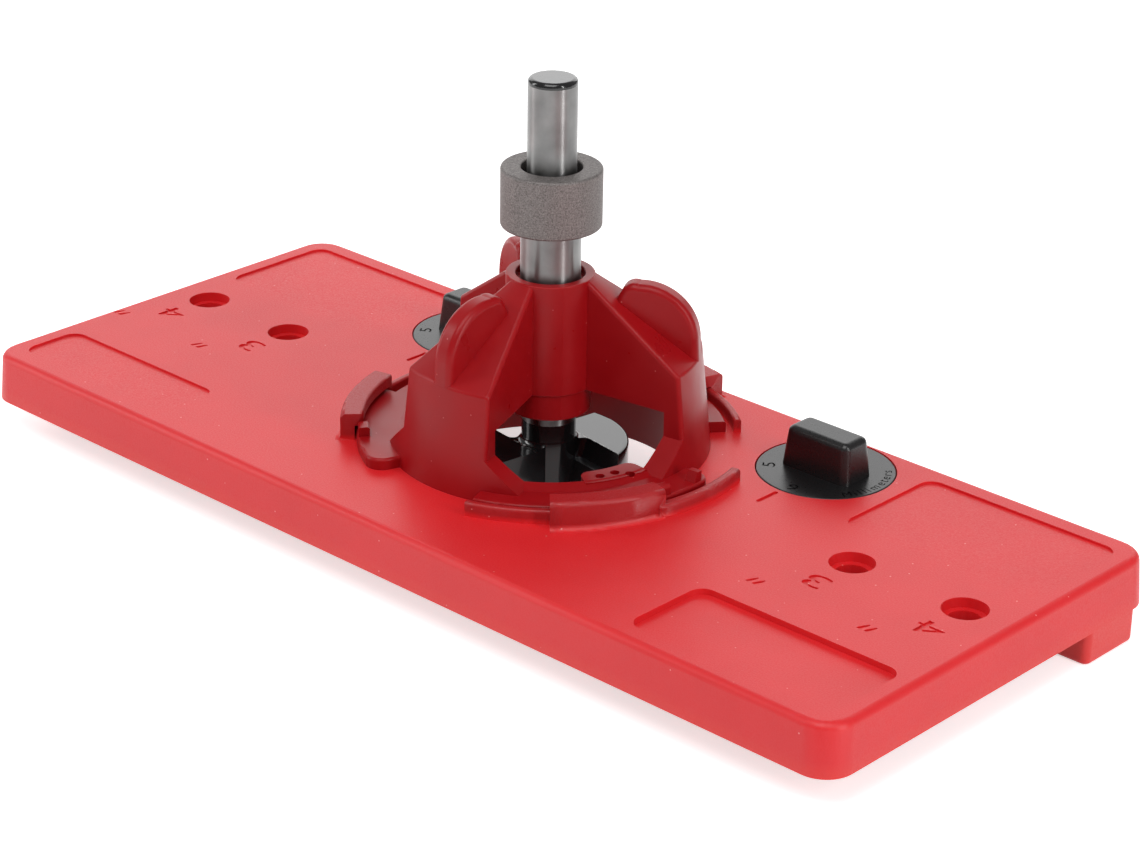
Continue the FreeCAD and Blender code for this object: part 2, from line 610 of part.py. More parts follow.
# Boring bit: shank, shaft and head turned from one bar
body = ring([
    (0, HEAD_LOW_Z, 0), (HEAD_R, HEAD_LOW_Z, 0.4), (HEAD_R, HEAD_TOP_Z, HEAD_EDGE_R),
    (NECK_R, HEAD_TOP_Z, NECK_BLEND_R), (NECK_R, SHAFT_LOW_Z, 0), (SHAFT_R, SHAFT_LOW_Z, 0.3),
    (SHAFT_R, SHAFT_TOP_Z, 0.4), (SHANK_R, SHAFT_TOP_Z, 0),
    (SHANK_R, SHANK_TOP_Z, SHANK_TIP_R), (0, SHANK_TOP_Z, 0)])

# A gullet is a square notch on each side of the neck. Its trailing wall is upright. Its leading wall
# leans forward as it goes down, to the wing's cutting edge.
lead_lean = (LEAD_TOP - LEAD_LOW) / (HEAD_TOP_Z - HEAD_LOW_Z)


def lead_y(z):
    return BORE_Y + LEAD_LOW + lead_lean * (z - HEAD_LOW_Z)


def notch_outline(z):
    back_y = BORE_Y - GULLET_REACH
    return [
        V(TRAIL, back_y, z), V(GULLET_REACH, back_y, z),
        V(GULLET_REACH, lead_y(z), z), V(TRAIL, lead_y(z), z)]


gullet = flat_sided(notch_outline(HEAD_LOW_Z - 1), notch_outline(HEAD_TOP_Z + NECK_BLEND_R))
inside = edges_where(gullet, lambda e: spread(e, "z") > 1 and e.BoundBox.XMax < TRAIL + 0.01
                     and e.BoundBox.YMin > BORE_Y)
gullet = gullet.makeFillet(GULLET_BLEND_R, inside)
gullet = gullet.cut(rod(NECK_R + NECK_CLEAR, HEAD_LOW_Z - 2, HEAD_TOP_Z + 4))

# A carbide wing lies against each leading wall. Its low edge is ground back from the cutting edge.
wing_ends = []
for z in (WING_LOW_Z, WING_TOP_Z):
    wing_ends.append([
        V(TRAIL, lead_y(z) - WING_T, z), V(GULLET_REACH, lead_y(z) - WING_T, z),
        V(GULLET_REACH, lead_y(z), z), V(TRAIL, lead_y(z), z)])
wing = flat_sided(wing_ends[0], wing_ends[1])
edge_y = lead_y(WING_LOW_Z) - WING_T
relief = Part.Face(Part.makePolygon([
    V(0, edge_y + WING_LAND, WING_LOW_Z - 0.01), V(0, edge_y + 2 * WING_T, WING_LOW_Z - 0.01),
    V(0, edge_y + 2 * WING_T, WING_LOW_Z + 2 * WING_RELIEF),
    V(0, edge_y + WING_LAND, WING_LOW_Z - 0.01)]))
cup = rod(CUP_D / 2, WING_LOW_Z - 5, WING_TOP_Z + 1)
wing = wing.common(cup).cut([
    relief.extrude(V(GULLET_REACH, 0, 0)), rod(NECK_R + NECK_CLEAR, WING_LOW_Z - 1, WING_TOP_Z + 1)])

# A carbide spur stands in a slot at each lobe's heel and reaches out to the cup's wall
spur_in = CUP_D / 2 - SPUR_W
spur_slot = Part.makeBox(SPUR_W + 2, SPUR_T, SPUR_TOP_Z - HEAD_LOW_Z + 1,
                         V(spur_in, BORE_Y, HEAD_LOW_Z - 1))
spur = Part.makeBox(SPUR_W, SPUR_T, SPUR_TOP_Z - SPUR_LOW_Z, V(spur_in, BORE_Y, SPUR_LOW_Z))
tip_x = CUP_D / 2 - SPUR_TIP_L
slope = Part.Face(Part.makePolygon([
    V(tip_x, BORE_Y - 1, SPUR_LOW_Z - 0.01), V(spur_in - 1, BORE_Y - 1, SPUR_LOW_Z - 0.01),
    V(spur_in - 1, BORE_Y - 1, HEAD_LOW_Z + 0.6), V(tip_x, BORE_Y - 1, SPUR_LOW_Z - 0.01)]))
spur = spur.common(cup).cut(slope.extrude(V(0, SPUR_T + 2, 0)))

head_cuts = [rod(POINT_R, HEAD_LOW_Z - 1, POINT_TOP_Z)]
for turn in (0, 180):
    head_cuts.append(at_angle(gullet, HEAD_TURN_DEG + turn))
    head_cuts.append(at_angle(spur_slot, SPUR_AT_DEG + turn))
wing_seats = [at_angle(wing, HEAD_TURN_DEG + turn) for turn in (0, 180)]
bit_body = body.cut(head_cuts).cut(wing_seats)
save("bit_body", bit_body)
for count, turn in ((1, 0), (2, 180)):
    save("cutter_wing_%d" % count, at_angle(wing, HEAD_TURN_DEG + turn))
    save("spur_%d" % count, at_angle(spur, SPUR_AT_DEG + turn))
centre_point = ring([
    (0, POINT_LOW_Z, 0), (POINT_R, POINT_LOW_Z + POINT_CONE_H, 0),
    (POINT_R, POINT_TOP_Z, 0), (0, POINT_TOP_Z, 0)])
save("centre_point", centre_point)

# Stop collar with a radial set screw at the back
collar = ring([
    (SHAFT_R + RUN, COLLAR_LOW_Z, 0.3), (COLLAR_R, COLLAR_LOW_Z, COLLAR_EDGE),
    (COLLAR_R, COLLAR_TOP_Z, COLLAR_EDGE), (SHAFT_R + RUN, COLLAR_TOP_Z, 0.3)], SET_AT_DEG + 180)
set_z = (COLLAR_LOW_Z + SHAFT_TOP_Z) / 2
hole = Part.makeCylinder(SET_R, COLLAR_R, V(SHANK_R / 2, BORE_Y, set_z), V(1, 0, 0))
stop_collar = collar.cut(at_angle(hole, SET_AT_DEG))
save("stop_collar", stop_collar)
screw = Part.makeCylinder(SET_R, SET_L, V(SHAFT_R, BORE_Y, set_z), V(1, 0, 0))
screw = screw.cut(rod(SHAFT_R, set_z - 5, set_z + 5))
socket_x = SHAFT_R + SET_L - SET_HEX_DEPTH
hex_r = SET_HEX / math.sqrt(3)
hex_pts = []
for corner_deg in range(0, 361, 60):
    a = math.radians(corner_deg)
    hex_pts.append(V(socket_x, BORE_Y + hex_r * math.cos(a), set_z + hex_r * math.sin(a)))
socket = Part.Face(Part.makePolygon(hex_pts)).extrude(V(SET_HEX_DEPTH + 1, 0, 0))
save("collar_set_screw", at_angle(screw.cut(socket), SET_AT_DEG))

# Dials, cams and their screws
dial_low_z = TOP_Z - DIAL_T
floor_low_z = TOP_Z - DIAL_T - REST_GAP - DIAL_FLOOR_T
cam_top_z = floor_low_z - REST_GAP
tang_low_z = cam_top_z - TANG_L
sink_z = CAM_BOTTOM_Z + CAM_SINK_DEPTH
washer_z = sink_z - WASHER_T
head_z = washer_z - SCREW_HEAD_H
screw_top_z = washer_z + SCREW_L
for side, word in ((-1, "left"), (1, "right")):
    x = side * DIAL_X
    disc = ring([(0, dial_low_z, 0), (DIAL_R, dial_low_z, 0.3), (DIAL_R, TOP_Z, 0.4), (0, TOP_Z, 0)],
                0, 360, x, DIAL_Y)
    grip = tapered(x - GRIP_L / 2, x + GRIP_L / 2, DIAL_Y - GRIP_W / 2, DIAL_Y + GRIP_W / 2,
                   GRIP_CORNER_R, TOP_Z - 0.5, TOP_Z + GRIP_H, GRIP_DRAFT)
    crown = edges_where(grip, lambda e: e.BoundBox.ZMin > TOP_Z + GRIP_H - 0.01)
    grip = grip.makeFillet(GRIP_EDGE_R, crown)
    stub = rod(STUB_R, cam_top_z, dial_low_z + 0.5, x, DIAL_Y)
    tang = slab(x - TANG / 2, x + TANG / 2, DIAL_Y - TANG / 2, DIAL_Y + TANG / 2,
                TANG_CORNER_R, tang_low_z, cam_top_z + 0.5)
    dial = fuse([disc, grip, stub, tang])
    dial = dial.cut(rod(SCREW_R, tang_low_z - 1, screw_top_z + 1, x, DIAL_Y))
    save("dial_" + word, dial)

    cam = rod(CAM_MAX_R, CAM_BOTTOM_Z, cam_top_z, x, DIAL_Y)
    outside = []
    for distance, angle in EDGE_FLATS + CAM_SIDE_FLATS:
        apothem = DIAL_Y - CUP_EDGE_Y - distance
        cut = Part.makeBox(20, 40, 40, V(x + apothem, DIAL_Y - 20, CAM_BOTTOM_Z - 10))
        cut.rotate(V(x, DIAL_Y, 0), UP, angle)
        outside.append(cut)
    cam = cam.cut(outside)
    low_edges = edges_where(cam, lambda e: e.BoundBox.ZMax < CAM_BOTTOM_Z + 0.01)
    cam = cam.makeFillet(CAM_EDGE_R, low_edges)
    cam = cam.cut([
        slab(x - TANG / 2 - RUN, x + TANG / 2 + RUN, DIAL_Y - TANG / 2 - RUN, DIAL_Y + TANG / 2 + RUN,
             TANG_CORNER_R, tang_low_z, cam_top_z + 1),
        rod(SCREW_R + SCREW_CLEAR, CAM_BOTTOM_Z - 1, cam_top_z, x, DIAL_Y),
        rod(CAM_SINK_R, CAM_BOTTOM_Z - 1, sink_z, x, DIAL_Y)])
    save("cam_" + word, cam)

    washer_in = SCREW_R + WASHER_CLEAR
    washer = ring([(washer_in, washer_z, 0), (WASHER_R, washer_z, 0.15), (WASHER_R, sink_z, 0.15),
                   (washer_in, sink_z, 0)], 0, 360, x, DIAL_Y)
    save("cam_washer_" + word, washer)
    screw = ring([
        (0, head_z, 0), (SCREW_HEAD_R, head_z, SCREW_HEAD_EDGE_R), (SCREW_HEAD_R, washer_z, 0),
        (SCREW_R, washer_z, 0), (SCREW_R, screw_top_z, 0.3), (0, screw_top_z, 0)], 0, 360, x, DIAL_Y)
    arm = SCREW_HEAD_R - SCREW_HEAD_EDGE_R
    bar = Part.makeBox(2 * arm, SCREW_CROSS, SCREW_CROSS_DEPTH + 0.1,
                       V(x - arm, DIAL_Y - SCREW_CROSS / 2, head_z - 0.1))
    cross = bar.copy()
    cross.rotate(V(x, DIAL_Y, 0), UP, 90)
    save("cam_screw_" + word, screw.cut([bar, cross]))
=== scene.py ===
import math

import bpy
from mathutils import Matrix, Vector


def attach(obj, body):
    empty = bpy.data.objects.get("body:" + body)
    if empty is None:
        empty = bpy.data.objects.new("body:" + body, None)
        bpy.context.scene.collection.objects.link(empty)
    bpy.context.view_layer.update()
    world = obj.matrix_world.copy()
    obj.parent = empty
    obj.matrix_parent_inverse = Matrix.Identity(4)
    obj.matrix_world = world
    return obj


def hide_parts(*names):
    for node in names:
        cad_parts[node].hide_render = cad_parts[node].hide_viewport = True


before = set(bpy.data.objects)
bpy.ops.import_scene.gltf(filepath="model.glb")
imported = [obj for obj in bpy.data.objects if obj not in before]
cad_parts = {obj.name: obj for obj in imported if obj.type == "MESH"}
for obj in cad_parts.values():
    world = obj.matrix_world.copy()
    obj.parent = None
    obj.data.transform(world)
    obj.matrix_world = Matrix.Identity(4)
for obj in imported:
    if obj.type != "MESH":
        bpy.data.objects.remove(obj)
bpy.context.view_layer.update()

MM = 0.001


# Base plate
# One injection-moulded shell of red ABS with ribs beneath, hooks for the guide on top and two
# feet. Numbers and inch marks are sunk into its top, which has a fine spark-eroded grain. Its
# thin rim lets some light through, which is also painted on as an orange glow low on the rim, and
# painted shade makes the raised hooks a deeper red.
def srgb(code):
    """Linear colour with alpha from an sRGB hex value such as C2141C."""
    parts = [int(code[i:i + 2], 16) / 255 for i in (0, 2, 4)]
    return tuple(c / 12.92 if c <= 0.04045 else ((c + 0.055) / 1.055) ** 2.4 for c in parts) + (1.0,)


def new_material(name):
    made = bpy.data.materials.new(name)
    made.use_nodes = True
    made.node_tree.nodes.clear()
    return made


def add(material, kind, values=None, links=None, **settings):
    """Adds a node; values go to its inputs and links come from other nodes' outputs."""
    made = material.node_tree.nodes.new(kind)
    for key, value in settings.items():
        setattr(made, key, value)
    for key, value in (values or {}).items():
        made.inputs[key].default_value = value
    for key, output in (links or {}).items():
        material.node_tree.links.new(output, made.inputs[key])
    return made


def on_object(material):
    """The object's own coordinates, so that a pattern stays on the piece when it moves."""
    return add(material, "ShaderNodeTexCoord").outputs["Object"]


def noise(material, place, size, detail, roughness=0.5):
    """Soft noise whose blotches are about size metres across."""
    values = {"Scale": 1 / size, "Detail": detail, "Roughness": roughness}
    return add(material, "ShaderNodeTexNoise", values, {"Vector": place}).outputs["Fac"]


def between(material, share, first, second):
    """A colour between two sRGB hex values."""
    values = {"Color1": srgb(first), "Color2": srgb(second)}
    return add(material, "ShaderNodeMixRGB", values, {"Fac": share}).outputs["Color"]


def over(material, share, under, colour):
    """An sRGB hex value laid over a colour from another node."""
    return add(material, "ShaderNodeMixRGB", {"Color2": srgb(colour)},
               {"Fac": share, "Color1": under}).outputs["Color"]


def spread(material, value, low, high, start=0.3, end=0.7):
    """Stretches a value from the range start to end to the range low to high."""
    values = {"From Min": start, "From Max": end, "To Min": low, "To Max": high}
    return add(material, "ShaderNodeMapRange", values, {"Value": value}).outputs["Result"]


def bumps(material, height, strength, depth):
    return add(material, "ShaderNodeBump", {"Strength": strength, "Distance": depth},
               {"Height": height}).outputs["Normal"]


def surface(material, shader):
    add(material, "ShaderNodeOutputMaterial", None, {"Surface": shader})


def finish_with(thing, material):
    thing.data.materials.clear()
    thing.data.materials.append(material)


def only(thing):
    """Selects one object alone and makes it the active one."""
    bpy.ops.object.select_all(action="DESELECT")
    thing.select_set(True)
    bpy.context.view_layer.objects.active = thing


def merge_doubles(thing):
    only(thing)
    bpy.ops.object.mode_set(mode="EDIT")
    bpy.ops.mesh.select_all(action="SELECT")
    bpy.ops.mesh.remove_doubles(threshold=0.001 * MM)
    bpy.ops.object.mode_set(mode="OBJECT")


def sunk_mark(words, size, x, y, top, depth, turn, lean=0.0, wide=1.0):
    """A solid in the shape of a character, to be cut into a surface whose height is top."""
    bpy.ops.object.select_all(action="DESELECT")
    bpy.ops.object.text_add(location=(x, y, top), rotation=(0, 0, math.radians(turn)))
    mark = bpy.context.object
    mark.data.body = words
    mark.data.size = size
    mark.data.shear = lean
    mark.data.extrude = depth
    mark.data.align_x = "CENTER"
    mark.data.align_y = "CENTER"
    mark.scale = (wide, 1, 1)
    bpy.ops.object.convert(target="MESH")
    bpy.ops.object.transform_apply(location=True, rotation=True, scale=True)
    merge_doubles(bpy.context.object)
    return bpy.context.object


BEND_ANGLE = 24
LEVEL = 0.99999
WIDE_FACE = 20 * MM * MM


def engraved(node_name, piece_name, marks):
    """A merged copy of a CAD node with the marks cut into it, which stands for that node. Its
    level faces and its wide ones stay flat, and only the narrow ones round a bend are smooth."""
    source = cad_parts[node_name]
    piece = bpy.data.objects.new(piece_name, source.data.copy())
    bpy.context.collection.objects.link(piece)
    merge_doubles(piece)
    only(marks[0])
    for mark in marks:
        mark.select_set(True)
    bpy.ops.object.join()
    cutter = bpy.context.object
    only(piece)
    cut = piece.modifiers.new("engraving", "BOOLEAN")
    cut.operation = "DIFFERENCE"
    cut.solver = "EXACT"
    cut.object = cutter
    bpy.ops.object.modifier_apply(modifier="engraving")
    bpy.ops.object.shade_smooth_by_angle(angle=math.radians(BEND_ANGLE))
    for face in piece.data.polygons:
        if abs(face.normal.z) > LEVEL or face.area > WIDE_FACE:
            face.use_smooth = False
    bpy.data.objects.remove(cutter)
    return piece


PLATE_TOP = 16.8 * MM
INCH = 25.4 * MM
DIGIT_SIZE = 7.2 * MM
DIGIT_WIDE = 1.7
DIGIT_Y = -6.4 * MM
QUOTE_SIZE = 9.5 * MM
QUOTE_X = -5.8 * MM
QUOTE_Y = -11.4 * MM
QUOTE_LEAN = 0.35
MARK_DEPTH = 0.35 * MM
READ_FROM_BACK = 180
plate_marks = []
for inches in (3, 4):
    for side in (-1, 1):
        hole_x = side * inches * INCH
        plate_marks.append(sunk_mark(str(inches), DIGIT_SIZE, hole_x, DIGIT_Y, PLATE_TOP, MARK_DEPTH,
                                     READ_FROM_BACK, wide=DIGIT_WIDE))
        plate_marks.append(sunk_mark('"', QUOTE_SIZE, hole_x + QUOTE_X, QUOTE_Y, PLATE_TOP, MARK_DEPTH,
                                     READ_FROM_BACK, lean=QUOTE_LEAN))
plate = engraved("base_plate", "engraved_plate", plate_marks)

# Fine pale specks of dust, as the bare plastic of both mouldings gathers them
DUST_PITCH = 3.5 * MM
DUST_SIZE = 0.055
DUST_CORE = 0.6


def dusted(material, place, most, under, colour):
    """Pale specks over a colour; most is how far the middle of a speck covers it."""
    cells = add(material, "ShaderNodeTexVoronoi", {"Scale": 1 / DUST_PITCH}, {"Vector": place})
    speck = spread(material, cells.outputs["Distance"], 0.0, most, DUST_SIZE, DUST_SIZE * DUST_CORE)
    return over(material, speck, under, colour)


# Spark-eroded ABS scatters light in fine specks. The thin rim lets light through, and a painted
# glow, more orange, stands for that light low on the rim; painted shade makes the raised hooks a
# deeper red. The real grain is about 0.1 mm and is drawn at 0.3 mm so that it shows.
GRAIN = 0.3 * MM
GRAIN_DEPTH = 0.03 * MM
CLOUD = 14 * MM
RIM_LOW = 6.8 * MM
PAINTED_GLOW_HEIGHT = 3.0 * MM
SHADE_FROM_ABOVE_TOP = 0.2 * MM
SHADE_FULL_ABOVE_TOP = 1.2 * MM
PLASTIC_IOR = 1.53
moulded_red = new_material("spark_grained_red_abs")
place = on_object(moulded_red)
grain = noise(moulded_red, place, GRAIN, 2.0, 0.6)
tone = between(moulded_red, noise(moulded_red, place, CLOUD, 3.0), "D2161D", "DE2228")
height = add(moulded_red, "ShaderNodeSeparateXYZ", None, {"Vector": place}).outputs["Z"]
# Painted glow: a more orange tone low on the rim stands for light coming through the thin plastic
painted_glow_share = spread(moulded_red, height, 0.45, 0.0, RIM_LOW, RIM_LOW + PAINTED_GLOW_HEIGHT)
painted_glow_tone = over(moulded_red, painted_glow_share, tone, "DE3A30")
# Painted shade: everything raised above the plate's top, such as the hooks, is painted a deeper red
painted_shade_share = spread(moulded_red, height, 0.0, 1.0, PLATE_TOP + SHADE_FROM_ABOVE_TOP, PLATE_TOP + SHADE_FULL_ABOVE_TOP)
painted_shade_tone = over(moulded_red, painted_shade_share, painted_glow_tone, "A8141A")
red = add(moulded_red, "ShaderNodeBsdfPrincipled",
          {"IOR": PLASTIC_IOR, "Subsurface Weight": 0.25, "Subsurface Radius": (1.0, 0.12, 0.06),
           "Subsurface Scale": 2 * MM},
          {"Base Color": dusted(moulded_red, place, 0.5, painted_shade_tone, "F2B4B0"),
           "Roughness": spread(moulded_red, grain, 0.34, 0.58),
           "Normal": bumps(moulded_red, grain, 0.85, GRAIN_DEPTH)})
surface(moulded_red, red.outputs["BSDF"])
finish_with(plate, moulded_red)
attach(plate, "base")
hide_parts("base_plate")

# Drill guide
# A second moulding of the same plastic from a polished mould, so it is glossier and darker, with
# faint flow marks where the plastic met behind its windows, which make its shine uneven.
FLOW = 9 * MM
GUIDE_GRAIN = 0.4 * MM
GUIDE_GRAIN_DEPTH = 0.02 * MM
polished_red = new_material("semi_gloss_red_abs")
place = on_object(polished_red)
flow = noise(polished_red, place, FLOW, 3.0, 0.55)
grain = noise(polished_red, place, GUIDE_GRAIN, 2.0)
tone = between(polished_red, flow, "910D13", "A21117")
red = add(polished_red, "ShaderNodeBsdfPrincipled",
          {"IOR": PLASTIC_IOR, "Specular IOR Level": 0.2, "Subsurface Weight": 0.2,
           "Subsurface Radius": (1.0, 0.1, 0.05), "Subsurface Scale": 1.5 * MM},
          {"Base Color": dusted(polished_red, place, 0.4, tone, "E08A86"),
           "Roughness": spread(polished_red, flow, 0.27, 0.4),
           "Normal": bumps(polished_red, grain, 0.15, GUIDE_GRAIN_DEPTH)})
surface(polished_red, red.outputs["BSDF"])
finish_with(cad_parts["drill_guide"], polished_red)


# Boring bit
# Turned and ground from one steel bar; the head, the neck and the tip of the shank are painted
# gloss black, and the paint is chipped along the sharp edges of the head.
def compute(material, operation, first, second=None, clamp=False):
    """One step of arithmetic on an output and a number or a second output."""
    is_number = isinstance(second, float)
    values = {1: second} if is_number else None
    links = {0: first} if is_number or second is None else {0: first, 1: second}
    return add(material, "ShaderNodeMath", values, links, operation=operation, use_clamp=clamp).outputs[0]


BORE_Y = 3.75 * MM
PAINT_TOP_OF_NECK = RIM_LOW + 14.9 * MM
PAINT_FOOT_OF_TIP = RIM_LOW + 83.1 * MM
HEAD_TOP = RIM_LOW + 10.2 * MM
HEAD_TURN = math.radians(-8.4)
LOBE_EDGE_Y = 6.15 * MM
CHIP_BAND = 0.22 * MM
CHIP_DROP = 0.12 * MM
FLAKE = 0.7 * MM
FLAKE_FROM = 0.52
ground_steel = new_material("ground_steel_with_black_paint")
place = on_object(ground_steel)
height = add(ground_steel, "ShaderNodeSeparateXYZ", None, {"Vector": place}).outputs["Z"]
below = compute(ground_steel, "LESS_THAN", height, PAINT_TOP_OF_NECK)
above = compute(ground_steel, "GREATER_THAN", height, PAINT_FOOT_OF_TIP)
painted = compute(ground_steel, "MAXIMUM", below, above)
# The head's own axes, in which the sharp top edges of its two lobes lie at plus and minus one Y
moved = add(ground_steel, "ShaderNodeMapping", {"Location": (0, -BORE_Y, 0)}, {"Vector": place})
turned = add(ground_steel, "ShaderNodeMapping", {"Rotation": (0, 0, -HEAD_TURN)},
             {"Vector": moved.outputs["Vector"]})
head_axes = add(ground_steel, "ShaderNodeSeparateXYZ", None, {"Vector": turned.outputs["Vector"]})
off_axis = compute(ground_steel, "ABSOLUTE", head_axes.outputs["Y"])
off_edge = compute(ground_steel, "ABSOLUTE", compute(ground_steel, "SUBTRACT", off_axis, LOBE_EDGE_Y))
on_edge = compute(ground_steel, "LESS_THAN", off_edge, CHIP_BAND)
on_top = compute(ground_steel, "GREATER_THAN", height, HEAD_TOP - CHIP_DROP)
flaked = compute(ground_steel, "GREATER_THAN", noise(ground_steel, place, FLAKE, 2.0), FLAKE_FROM)
chipped = compute(ground_steel, "MULTIPLY", compute(ground_steel, "MULTIPLY", on_edge, on_top), flaked)
kept = compute(ground_steel, "SUBTRACT", painted, chipped, clamp=True)
# Ground steel has fine lines round its axis, 0.25 mm apart here, and dull patches from use
LINE_LENGTH = 6 * MM
LINE_PITCH = 0.25 * MM
LINE_DEPTH = 0.012 * MM
SMEAR = 5 * MM
stretch = add(ground_steel, "ShaderNodeMapping",
              {"Scale": (1 / LINE_LENGTH, 1 / LINE_LENGTH, 1 / LINE_PITCH)}, {"Vector": place})
lines = noise(ground_steel, stretch.outputs["Vector"], 1.0, 3.0)
worn = between(ground_steel, noise(ground_steel, place, SMEAR, 4.0), "6B6B6B", "9A9998")
round_it = add(ground_steel, "ShaderNodeTangent", direction_type="RADIAL", axis="Z")
steel = add(ground_steel, "ShaderNodeBsdfPrincipled",
            {"Metallic": 1.0, "Roughness": 0.34, "Anisotropic": 0.9, "Anisotropic Rotation": 0.25},
            {"Base Color": worn, "Normal": bumps(ground_steel, lines, 0.2, LINE_DEPTH),
             "Tangent": round_it.outputs["Tangent"]})
# Sprayed gloss paint mirrors the room and has a slight orange peel
PEEL = 1.6 * MM
PEEL_DEPTH = 0.05 * MM
peel = noise(ground_steel, place, PEEL, 2.0)
paint = add(ground_steel, "ShaderNodeBsdfPrincipled",
            {"Base Color": srgb("121112"), "Roughness": 0.16, "IOR": 1.5, "Coat Weight": 0.3,
             "Coat Roughness": 0.05},
            {"Normal": bumps(ground_steel, peel, 0.12, PEEL_DEPTH)})
mix = add(ground_steel, "ShaderNodeMixShader", None,
          {"Fac": kept, 1: steel.outputs["BSDF"], 2: paint.outputs["BSDF"]})
surface(ground_steel, mix.outputs["Shader"])
finish_with(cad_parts["bit_body"], ground_steel)

# Cutting wings, spurs and centre point
# Small plates of tungsten carbide, brazed into the head and ground to their edges. Grinding
# leaves fine straight lines that catch the light.
SCRATCH_PITCH = 0.2 * MM
SCRATCH_LENGTH = 3 * MM
SCRATCH_DEPTH = 0.01 * MM
carbide = new_material("ground_carbide")
stretch = add(carbide, "ShaderNodeMapping",
              {"Scale": (1 / SCRATCH_PITCH, 1 / SCRATCH_LENGTH, 1 / SCRATCH_LENGTH)},
              {"Vector": on_object(carbide)})
scratches = noise(carbide, stretch.outputs["Vector"], 1.0, 2.0)
grey = add(carbide, "ShaderNodeBsdfPrincipled",
           {"Base Color": srgb("6E6E72"), "Metallic": 1.0, "Roughness": 0.32},
           {"Normal": bumps(carbide, scratches, 0.2, SCRATCH_DEPTH)})
surface(carbide, grey.outputs["BSDF"])
for node_name in ("cutter_wing_1", "cutter_wing_2", "spur_1", "spur_2", "centre_point"):
    finish_with(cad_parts[node_name], carbide)

# Stop collar
# Pressed and sintered from iron powder, left as it comes: warm grey and matt, with fine grains
# that sparkle, and held to the shank by a blackened set screw.
POWDER = 0.28 * MM
POWDER_DEPTH = 0.03 * MM
sintered = new_material("sintered_iron")
grain = noise(sintered, on_object(sintered), POWDER, 3.0, 0.7)
colour = between(sintered, spread(sintered, grain, 0.0, 1.0, 0.35, 0.7), "5C5755", "918B89")
iron = add(sintered, "ShaderNodeBsdfPrincipled", {"Metallic": 0.6, "Roughness": 0.55},
           {"Base Color": colour, "Normal": bumps(sintered, grain, 0.6, POWDER_DEPTH)})
surface(sintered, iron.outputs["BSDF"])
finish_with(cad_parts["stop_collar"], sintered)

# Black oxide is a thin dark skin that still shines like steel, a little patchy from its bath
OXIDE_PATCH = 0.8 * MM
black_oxide = new_material("black_oxide_steel")
patches = noise(black_oxide, on_object(black_oxide), OXIDE_PATCH, 2.0)
dark = add(black_oxide, "ShaderNodeBsdfPrincipled", {"Metallic": 1.0, "Roughness": 0.4},
           {"Base Color": between(black_oxide, patches, "242426", "363638")})
surface(black_oxide, dark.outputs["BSDF"])
finish_with(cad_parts["collar_set_screw"], black_oxide)

# Dials
# Moulded in black nylon with numbers and the unit sunk into the disc, each held down by a
# zinc-plated screw through its cam below the plate.
DIAL_X = 47.5 * MM
DIAL_Y = 31.6 * MM
DIAL_MARK_DEPTH = 0.35 * MM
NUMBER_SIZE = 3.6 * MM
NUMBER_WIDE = 1.35
NUMBER_R = 10.9 * MM
NUMBER_AT = (("6", -86), ("5", -145), ("4", 154), ("3", 94))
UNIT_SIZE = 2.8 * MM
UNIT_R = 11.9 * MM
UNIT_START = -37.0
UNIT_WIDTHS = (("M", 0.85), ("i", 0.36), ("l", 0.36), ("l", 0.36), ("i", 0.36), ("m", 0.92), ("e", 0.62),
               ("t", 0.42), ("e", 0.62), ("r", 0.46), ("s", 0.56))


def dial_mark(words, size, side, radius, angle, turn, wide=1.0):
    """A mark on one dial's disc, at an angle round its axis."""
    a = math.radians(angle)
    return sunk_mark(words, size, side * DIAL_X + radius * math.cos(a), DIAL_Y + radius * math.sin(a),
                     PLATE_TOP, DIAL_MARK_DEPTH, turn, wide=wide)


# Nylon from a satin mould: black, with a soft shine that its fine grain breaks up
NYLON_GRAIN = 0.3 * MM
NYLON_GRAIN_DEPTH = 0.02 * MM
black_nylon = new_material("satin_black_nylon")
grain = noise(black_nylon, on_object(black_nylon), NYLON_GRAIN, 2.0)
nylon = add(black_nylon, "ShaderNodeBsdfPrincipled", {"Base Color": srgb("121112"), "IOR": PLASTIC_IOR},
            {"Normal": bumps(black_nylon, grain, 0.12, NYLON_GRAIN_DEPTH),
             "Roughness": spread(black_nylon, grain, 0.26, 0.38)})
surface(black_nylon, nylon.outputs["BSDF"])

# Zinc plating is pale and bright, with faint clouds
ZINC_CLOUD = 0.6 * MM
zinc = new_material("zinc_plated_steel")
clouds = noise(zinc, on_object(zinc), ZINC_CLOUD, 2.0)
plated = add(zinc, "ShaderNodeBsdfPrincipled", {"Metallic": 1.0, "Roughness": 0.3},
             {"Base Color": between(zinc, clouds, "A9ABAF", "BFC2C4")})
surface(zinc, plated.outputs["BSDF"])

for side, word in ((-1, "left"), (1, "right")):
    dial_marks = [dial_mark(number, NUMBER_SIZE, side, NUMBER_R, angle, angle - 90, NUMBER_WIDE)
                  for number, angle in NUMBER_AT]
    angle = UNIT_START
    for letter, width in UNIT_WIDTHS:
        half_step = math.degrees(width * UNIT_SIZE / UNIT_R) / 2
        angle += half_step
        dial_marks.append(dial_mark(letter, UNIT_SIZE, side, UNIT_R, angle, angle + 90))
        angle += half_step
    dial = engraved("dial_" + word, "numbered_dial_" + word, dial_marks)
    finish_with(dial, black_nylon)
    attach(dial, "dial_set_" + word)
    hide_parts("dial_" + word)
    finish_with(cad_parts["cam_" + word], black_nylon)
    finish_with(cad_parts["cam_washer_" + word], zinc)
    finish_with(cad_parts["cam_screw_" + word], zinc)

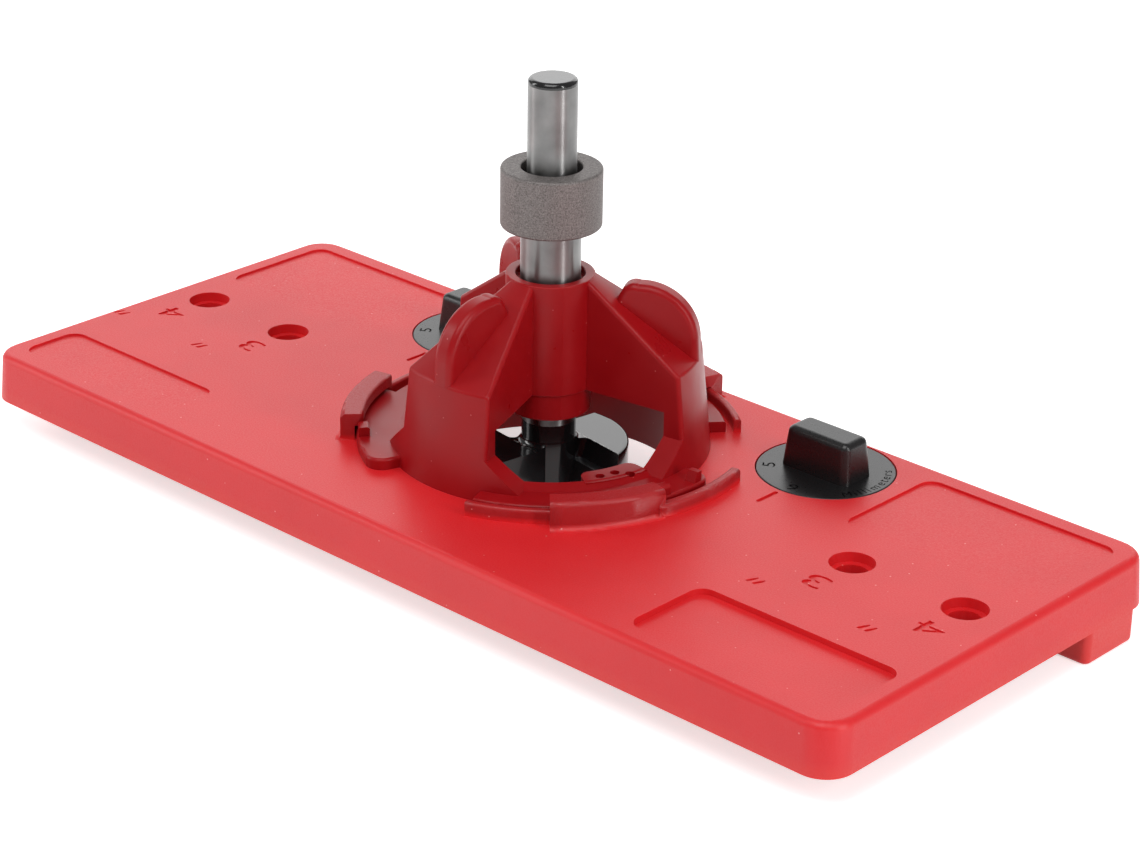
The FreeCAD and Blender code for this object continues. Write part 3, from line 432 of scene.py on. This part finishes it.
# Floor
# A matt white sweep that keeps the shadow. The camera and mirrors see it a little brighter, so
# that it runs into the white behind it.
FLOOR_SIZE = 8.0
FLOOR_GLOW = 0.62
bpy.ops.object.select_all(action="DESELECT")
bpy.ops.mesh.primitive_plane_add(size=FLOOR_SIZE, location=(0, 0, 0))
floor = bpy.context.object
floor.name = "floor"
white = new_material("white_sweep")
seen = add(white, "ShaderNodeLightPath")
matt = add(white, "ShaderNodeBsdfDiffuse", {"Color": (0.9, 0.9, 0.9, 1.0)})
glow = add(white, "ShaderNodeEmission", {"Color": (1, 1, 1, 1), "Strength": FLOOR_GLOW})
both = add(white, "ShaderNodeAddShader", None, {0: matt.outputs["BSDF"], 1: glow.outputs["Emission"]})
mirrored = compute(white, "MAXIMUM", seen.outputs["Is Glossy Ray"], seen.outputs["Is Transmission Ray"])
direct = compute(white, "MAXIMUM", seen.outputs["Is Camera Ray"], mirrored)
mix = add(white, "ShaderNodeMixShader", None,
          {"Fac": direct, 1: matt.outputs["BSDF"], 2: both.outputs["Shader"]})
surface(white, mix.outputs["Shader"])
finish_with(floor, white)

# Light and camera
# A white room with a broad soft box behind the object, one overhead and a narrow one on each
# side, as in a catalogue picture.
ROOM_LIGHT = 0.3
world = bpy.data.worlds.new("soft_room")
bpy.context.scene.world = world
world.use_nodes = True
world.node_tree.nodes.clear()
seen = add(world, "ShaderNodeLightPath")
room = add(world, "ShaderNodeBackground", {"Color": (1, 1, 1, 1), "Strength": ROOM_LIGHT})
backdrop = add(world, "ShaderNodeBackground", {"Color": (1, 1, 1, 1), "Strength": 1.0})
mix = add(world, "ShaderNodeMixShader", None,
          {0: seen.outputs["Is Camera Ray"], 1: room.outputs["Background"],
           2: backdrop.outputs["Background"]})
add(world, "ShaderNodeOutputWorld", None, {"Surface": mix.outputs["Shader"]})

AIM_AT = (0, 0, 30 * MM)
LAMPS = (
    ("back_box", (-0.95, 1.0, 0.62), (2.2, 0.9), 10.0),
    ("overhead_box", (0.2, -0.4, 0.95), (0.7, 0.7), 5.4),
    ("left_strip", (-0.85, -0.58, 0.45), (0.25, 0.7), 3.2),
    ("right_strip", (0.95, 0.02, 0.4), (0.08, 0.8), 3.7))
for name, spot, size, power in LAMPS:
    bpy.ops.object.light_add(type="AREA", location=spot)
    lamp = bpy.context.object
    lamp.name = name
    lamp.data.shape = "RECTANGLE"
    lamp.data.size, lamp.data.size_y = size
    lamp.data.energy = power
    lamp.visible_camera = False
    aim = Vector(AIM_AT) - Vector(spot)
    lamp.rotation_euler = aim.to_track_quat("-Z", "Y").to_euler()

CAMERA_AT = (380.17 * MM, -399.13 * MM, 270.93 * MM)
CAMERA_TURN = (65.559, -0.848, 43.288)
bpy.ops.object.camera_add(location=CAMERA_AT, rotation=[math.radians(a) for a in CAMERA_TURN])
camera = bpy.context.object
camera.data.lens = 97.86
camera.data.sensor_width = 36.0
bpy.context.scene.camera = camera
bpy.context.scene.view_settings.view_transform = "Standard"
